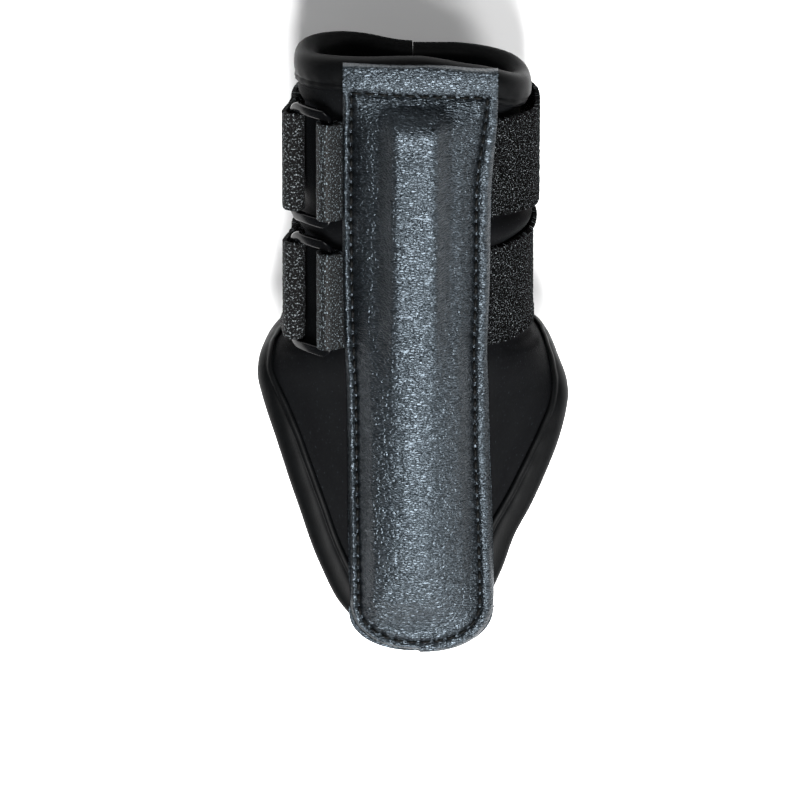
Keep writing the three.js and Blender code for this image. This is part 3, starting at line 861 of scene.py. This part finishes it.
def moulded_ring(name, s):
    """A plate with a window, thickened, its edges rounded, then bowed and laid on its strap."""
    bm = bmesh.new()
    for width, length, radius in (
        (RING_WIDTH, RING_LENGTH, RING_CORNER),
        (RING_WIDTH - 2 * RING_BAR, STRAP_WIDTH + WINDOW_PLAY, WINDOW_CORNER),
    ):
        circle = bmesh.ops.create_circle(bm, segments=36, radius=radius)["verts"]
        bmesh.ops.rotate(bm, verts=circle, matrix=Matrix.Rotation(math.radians(5), 3, "Z"))
        for vert in circle:
            vert.co.x += math.copysign(width / 2 - radius, vert.co.x)
            vert.co.y += math.copysign(length / 2 - radius, vert.co.y)
    bmesh.ops.bridge_loops(bm, edges=bm.edges[:])
    cross_bars = [
        e for e in bm.edges
        if abs(e.verts[0].co.y - e.verts[1].co.y) < 0.3 and e.calc_length() > 4
    ]
    bmesh.ops.subdivide_edges(bm, edges=cross_bars, cuts=7)
    bmesh.ops.recalc_face_normals(bm, faces=bm.faces)
    walls = bmesh.ops.extrude_face_region(bm, geom=bm.faces[:])
    top = [part for part in walls["geom"] if isinstance(part, bmesh.types.BMVert)]
    bmesh.ops.translate(bm, vec=(0, 0, RING_THICKNESS), verts=top)
    bmesh.ops.recalc_face_normals(bm, faces=bm.faces)
    sharp = [e for e in bm.edges if e.is_manifold and e.calc_face_angle() > 1.0]
    bmesh.ops.bevel(
        bm, geom=sharp, offset=RING_EDGE, segments=3, profile=0.5, affect="EDGES", material=-1,
    )
    for vert in bm.verts:
        along, across, up = vert.co
        up += -RING_THICKNESS / 2 + RING_BOW * (1 - (2 * along / RING_WIDTH) ** 2) - RING_BOW * 0.45
        at = ring_middle + ring_round * along + ring_out * up
        vert.co = Vector((at.x, TOP_Y - s - across, at.y)) * MM
    bmesh.ops.recalc_face_normals(bm, faces=bm.faces)
    for face in bm.faces:
        face.smooth = True
    mesh = bpy.data.meshes.new(name)
    bm.to_mesh(mesh)
    mesh.materials.append(nylon)
    ring = bpy.data.objects.new(name, mesh)
    bpy.context.collection.objects.link(ring)
    return ring


for which, s in STRAP_S.items():
    ring = moulded_ring(f"{which}_nylon_ring", s)
    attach(ring, f"{which}_buckle")
    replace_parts(ring, f"{which}_ring")

# ---- Ring tabs ---------------------------------------------------------------------------------
# Wide knitted elastic, caught under the panel's edge: it runs out over the ring's inner bar, turns
# round it and comes back under itself. Rubber threads run round the wrist between rows of small
# bright loops.

TAB = 1.1
LOOP_RADIUS = 2.0  # inside the loop that the ring's bar turns in
THREAD_PITCH = 0.45

# Knitted elastic: matt black, with pale loops that catch the light in short rows along its threads.
elastic = new_material(
    "knitted_elastic_webbing", Roughness=0.6, IOR=1.5, Sheen_Weight=0.006, Sheen_Roughness=0.4,
    Sheen_Tint=linear("#b9c1c7"), Specular_IOR_Level=0.1,
)
elastic_uv = add(elastic, "UVMap", uv_map="sheet").outputs["UV"]
elastic_rows = add(elastic, "TexWave", {
    "Vector": elastic_uv, "Scale": WAVE_SCALE / THREAD_PITCH, "Distortion": 1.2, "Detail": 2.0,
    "Detail Scale": 1.5,
}, bands_direction="X")
elastic_loops_at = add(elastic, "Mapping", {"Vector": elastic_uv, "Scale": (2.4, 1.6, 1.0)})
elastic_loops = add(elastic, "TexNoise", {
    "Vector": elastic_loops_at.outputs["Vector"], "Scale": 1.0, "Detail": 3.0, "Roughness": 0.7,
})
elastic_lit = add(elastic, "MapRange", {
    "Value": elastic_loops.outputs["Fac"], "From Min": 0.54, "From Max": 0.68,
})
elastic_shown = add(elastic, "Math", {
    0: elastic_rows.outputs["Fac"], 1: elastic_lit.outputs["Result"],
}, operation="MULTIPLY")
wire(
    elastic,
    Base_Color=add(elastic, "Mix", {
        "Factor": elastic_shown.outputs["Value"], "A": linear("#010101"), "B": linear("#a2b2ba"),
    }, data_type="RGBA").outputs["Result"],
    Normal=add(elastic, "Bump", {
        "Strength": 0.9, "Distance": 0.0004, "Height": elastic_shown.outputs["Value"],
    }).outputs["Normal"],
)


def near_bar(bar, around, out):
    """A point (x, z) near a ring's bar, by how far round the wrist and off it the point is."""
    return bar + ring_round * around + ring_out * out


def band(name, lines, steps, thickness, material, place=lambda p, across, u, v: p):
    """Webbing along lines, its centre lines at places across its width, finger side first."""
    rows = [smooth_line(line, steps) for line in lines]
    length = sum((b - a).length for a, b in zip(rows[0], rows[0][1:]))
    last = len(rows) - 1

    def surface(u, v):
        row, i = rows[round(v * last)], round(u * steps)
        ahead = row[min(i + 1, steps)] - row[max(i - 1, 0)]
        off = Vector((-ahead.z, 0, ahead.x)).normalized()
        return place(row[i].copy(), off, u, v)

    piece = sheet_piece(name, steps, last, length, STRAP_WIDTH, surface, material)
    thicken(piece, thickness, offset=0.0, rounding=0.25)
    return piece


def across_webbing(count):
    """Places across the webbing, from its finger side up, as millimetres of s from its middle."""
    return [STRAP_WIDTH * (0.5 - k / count) for k in range(count + 1)]


def tab_line(s, aside):
    """A tab's line from under the panel, out over the ring's inner bar and back beneath."""
    radius = LOOP_RADIUS + TAB / 2

    def on_wrap(x, height):
        return Vector((PANEL_X + x, back_height(x, s) + height))

    turn = [
        near_bar(inner_bar, radius * math.cos(math.radians(a)), radius * math.sin(math.radians(a)))
        for a in (135, 90, 45, 0, -45, -90)
    ]
    under_itself = near_bar(inner_bar, -2.6, -radius - 0.1)
    path = [on_wrap(-16.5, 1.1), on_wrap(-20.6, 1.7), *turn, under_itself]
    return [Vector((p.x, TOP_Y - s - aside, p.y)) for p in path]


for which, s in STRAP_S.items():
    tab = band(
        f"{which}_elastic_tab", [tab_line(s, aside) for aside in across_webbing(24)],
        110, TAB, elastic, lambda p, off, u, v: p + off * 0.10 * noise.noise(p * 0.9),
    )
    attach(tab, "guard")
    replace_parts(tab, f"{which}_ring_tab")

# ---- Straps ------------------------------------------------------------------------------------
# Each strap is loop-pile tape, sewn in under the panel on the little-finger side. It goes round the
# palm and up through its ring, folds back over the outer bar and sticks down on itself with a
# hook patch.

STRAP = 1.3
HOOK = 0.6
OVER_WRAP = 0.45  # from the wrap's outer face to the tape on it
LAYER_GAP = 0.15  # between the tape, the hooks and the tail
PALM_LIFT = 1.8  # over the bound ends of the wrap
SLACK = {"upper": 3.6, "lower": 1.9}  # off the little-finger side of the wrist

# Brushed nylon loops: matt black, speckled where tufts of loop ends catch the light.
pile = new_material(
    "brushed_loop_pile", Roughness=0.95, IOR=1.45, Sheen_Weight=0.006, Sheen_Roughness=0.35,
    Sheen_Tint=linear("#c9ced2"), Specular_IOR_Level=0.02,
)
pile_uv = add(pile, "UVMap", uv_map="sheet").outputs["UV"]
pile_tufts = add(pile, "TexNoise", {
    "Vector": pile_uv, "Scale": 1.15, "Detail": 4.0, "Roughness": 0.75,
})
pile_ends = add(pile, "TexNoise", {
    "Vector": pile_uv, "Scale": 2.6, "Detail": 2.0, "Roughness": 0.8,
})
pile_bright = add(pile, "MapRange", {
    "Value": pile_ends.outputs["Fac"], "From Min": 0.58, "From Max": 0.69,
})
pile_tuft_light = add(pile, "MapRange", {
    "Value": pile_tufts.outputs["Fac"], "From Min": 0.36, "From Max": 0.66,
})
pile_light = add(pile, "Math", {
    0: pile_bright.outputs["Result"], 1: pile_tuft_light.outputs["Result"],
}, operation="MULTIPLY")
wire(
    pile,
    Base_Color=add(pile, "Mix", {
        "Factor": pile_light.outputs["Value"], "A": linear("#010101"), "B": linear("#9aa0a4"),
    }, data_type="RGBA").outputs["Result"],
    Normal=add(pile, "Bump", {
        "Strength": 1.0, "Distance": 0.0007, "Height": pile_tufts.outputs["Fac"],
    }).outputs["Normal"],
)

# The back of the same tape, which shows where the strap folds over: a tight brushed knit.
strap_back = new_material(
    "brushed_knit_strap_back", Roughness=0.8, IOR=1.5, Sheen_Weight=0.006, Sheen_Roughness=0.4,
    Sheen_Tint=linear("#b9c1c7"), Specular_IOR_Level=0.08,
)
back_uv = add(strap_back, "UVMap", uv_map="sheet").outputs["UV"]
back_knit = add(strap_back, "TexNoise", {
    "Vector": back_uv, "Scale": 1.7, "Detail": 4.0, "Roughness": 0.7,
})
back_light = add(strap_back, "MapRange", {
    "Value": back_knit.outputs["Fac"], "From Min": 0.56, "From Max": 0.71,
})
wire(
    strap_back,
    Base_Color=add(strap_back, "Mix", {
        "Factor": back_light.outputs["Result"], "A": linear("#010101"), "B": linear("#8b9296"),
    }, data_type="RGBA").outputs["Result"],
    Normal=add(strap_back, "Bump", {
        "Strength": 0.8, "Distance": 0.0003, "Height": back_knit.outputs["Fac"],
    }).outputs["Normal"],
)

# Moulded nylon hooks: black, in rows 0.9 mm apart on a smooth ground.
hook_tape = new_material("moulded_hook_tape", Roughness=0.6, IOR=1.5)
hook_uv = add(hook_tape, "UVMap", uv_map="sheet").outputs["UV"]
hook_dots = add(hook_tape, "TexVoronoi", {"Vector": hook_uv, "Scale": 1.1, "Randomness": 0.15})
wire(
    hook_tape,
    Base_Color=add(hook_tape, "Mix", {
        "Factor": hook_dots.outputs["Distance"], "A": linear("#2a2d30"), "B": linear("#0d0e10"),
    }, data_type="RGBA").outputs["Result"],
    Normal=add(hook_tape, "Bump", {
        "Strength": 1.0, "Distance": 0.0006, "Height": hook_dots.outputs["Distance"],
    }, invert=True).outputs["Normal"],
)

MAIN_ANGLES = [46, 60, 75, 90, 105, 120, 135, 150, 165, 180, 195, 210, 225, 240, 252]
LEAD_FROM = 12  # the last stretch follows the ring, from this place in MAIN_ANGLES
TAIL_ANGLES = [272, 263, 254, 244, 235, 226]
HOOK_FROM = 3  # the hooks start at this place in TAIL_ANGLES
HOOK_SHARE = 0.94  # of the tail's width
BEND_RADIUS = 1.75 + STRAP / 2


def palm_lift(theta):
    return PALM_LIFT * (1 - smooth(30, 55, abs(theta - 180)))


def slack(which, theta):
    """How far a strap stands off the little-finger side of the wrist."""
    return SLACK[which] * smooth(50, 76, theta) * (1 - smooth(110, 150, theta))


def main_line(which, aside, angles):
    """A strap's line round the wrist, that far aside of its middle."""
    height = OVER_WRAP + STRAP / 2
    return [
        wrap_point(a, strap_middle(which, a) + aside, height + palm_lift(a) + slack(which, a))
        for a in angles
    ]


def bar_line(which, aside, places):
    """Points round the ring's outer bar, given as how far round and off the wrist they are."""
    y = TOP_Y - STRAP_S[which] - aside
    line = [near_bar(outer_bar, around, out) for around, out in places]
    return [Vector((p.x, y, p.y)) for p in line]


def on_bend(angle):
    return BEND_RADIUS * math.cos(math.radians(angle)), BEND_RADIUS * math.sin(math.radians(angle))


LEAD_END = [(5.2, -BEND_RADIUS - 1.3), (2.6, -BEND_RADIUS - 0.2), on_bend(-90), on_bend(-135)]
FOLD = [
    *(on_bend(a) for a in (-135, 180, 135, 90)),
    (1.5, BEND_RADIUS - 0.35), (2.9, BEND_RADIUS - 1.5),
]


def tail_line(which, aside, lower=0.0):
    """A tail's line over its strap, or one that much lower."""
    height = OVER_WRAP + STRAP + LAYER_GAP + HOOK + LAYER_GAP + STRAP / 2 - lower
    return [wrap_point(a, STRAP_S[which] + aside, height + palm_lift(a)) for a in TAIL_ANGLES]


FUZZ = {"pile": (0.22, 0.9), "back": (0.12, 0.8)}  # how far, and how many millimetres apart


def fuzz(amount, pitch):
    """Uneven pile: pushes the tape's surface in and out."""
    def place(p, off, u, v):
        return p + off * amount * noise.fractal(p * (1 / pitch), 1.0, 2.0, 3)
    return place


for which, s in STRAP_S.items():
    asides = across_webbing(72)
    strap = band(
        f"{which}_loop_strap",
        [main_line(which, a, MAIN_ANGLES[:LEAD_FROM + 1]) for a in asides],
        300, STRAP, pile, fuzz(*FUZZ["pile"]),
    )
    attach(strap, "guard")
    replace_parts(strap, f"{which}_strap")

    lead = band(
        f"{which}_strap_lead",
        [
            main_line(which, a, MAIN_ANGLES[LEAD_FROM:]) + bar_line(which, a, LEAD_END)
            for a in asides
        ],
        80, STRAP, pile, fuzz(*FUZZ["pile"]),
    )
    lead_start = wrap_point(226, s, 1.2) * MM
    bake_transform(lead)

    flap = band(
        f"{which}_strap_flap",
        [bar_line(which, a, FOLD) + tail_line(which, a) for a in asides],
        150, STRAP, strap_back, fuzz(*FUZZ["back"]),
    )
    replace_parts(flap, f"{which}_strap_fold", f"{which}_strap_tail")
    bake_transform(flap)

    under = STRAP / 2 + LAYER_GAP + HOOK / 2
    patch = band(
        f"{which}_hook_tape",
        [tail_line(which, a * HOOK_SHARE, under)[HOOK_FROM:] for a in asides[::6]],
        40, HOOK, hook_tape,
    )
    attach(patch, f"{which}_flap")
    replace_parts(patch, f"{which}_hook_patch")
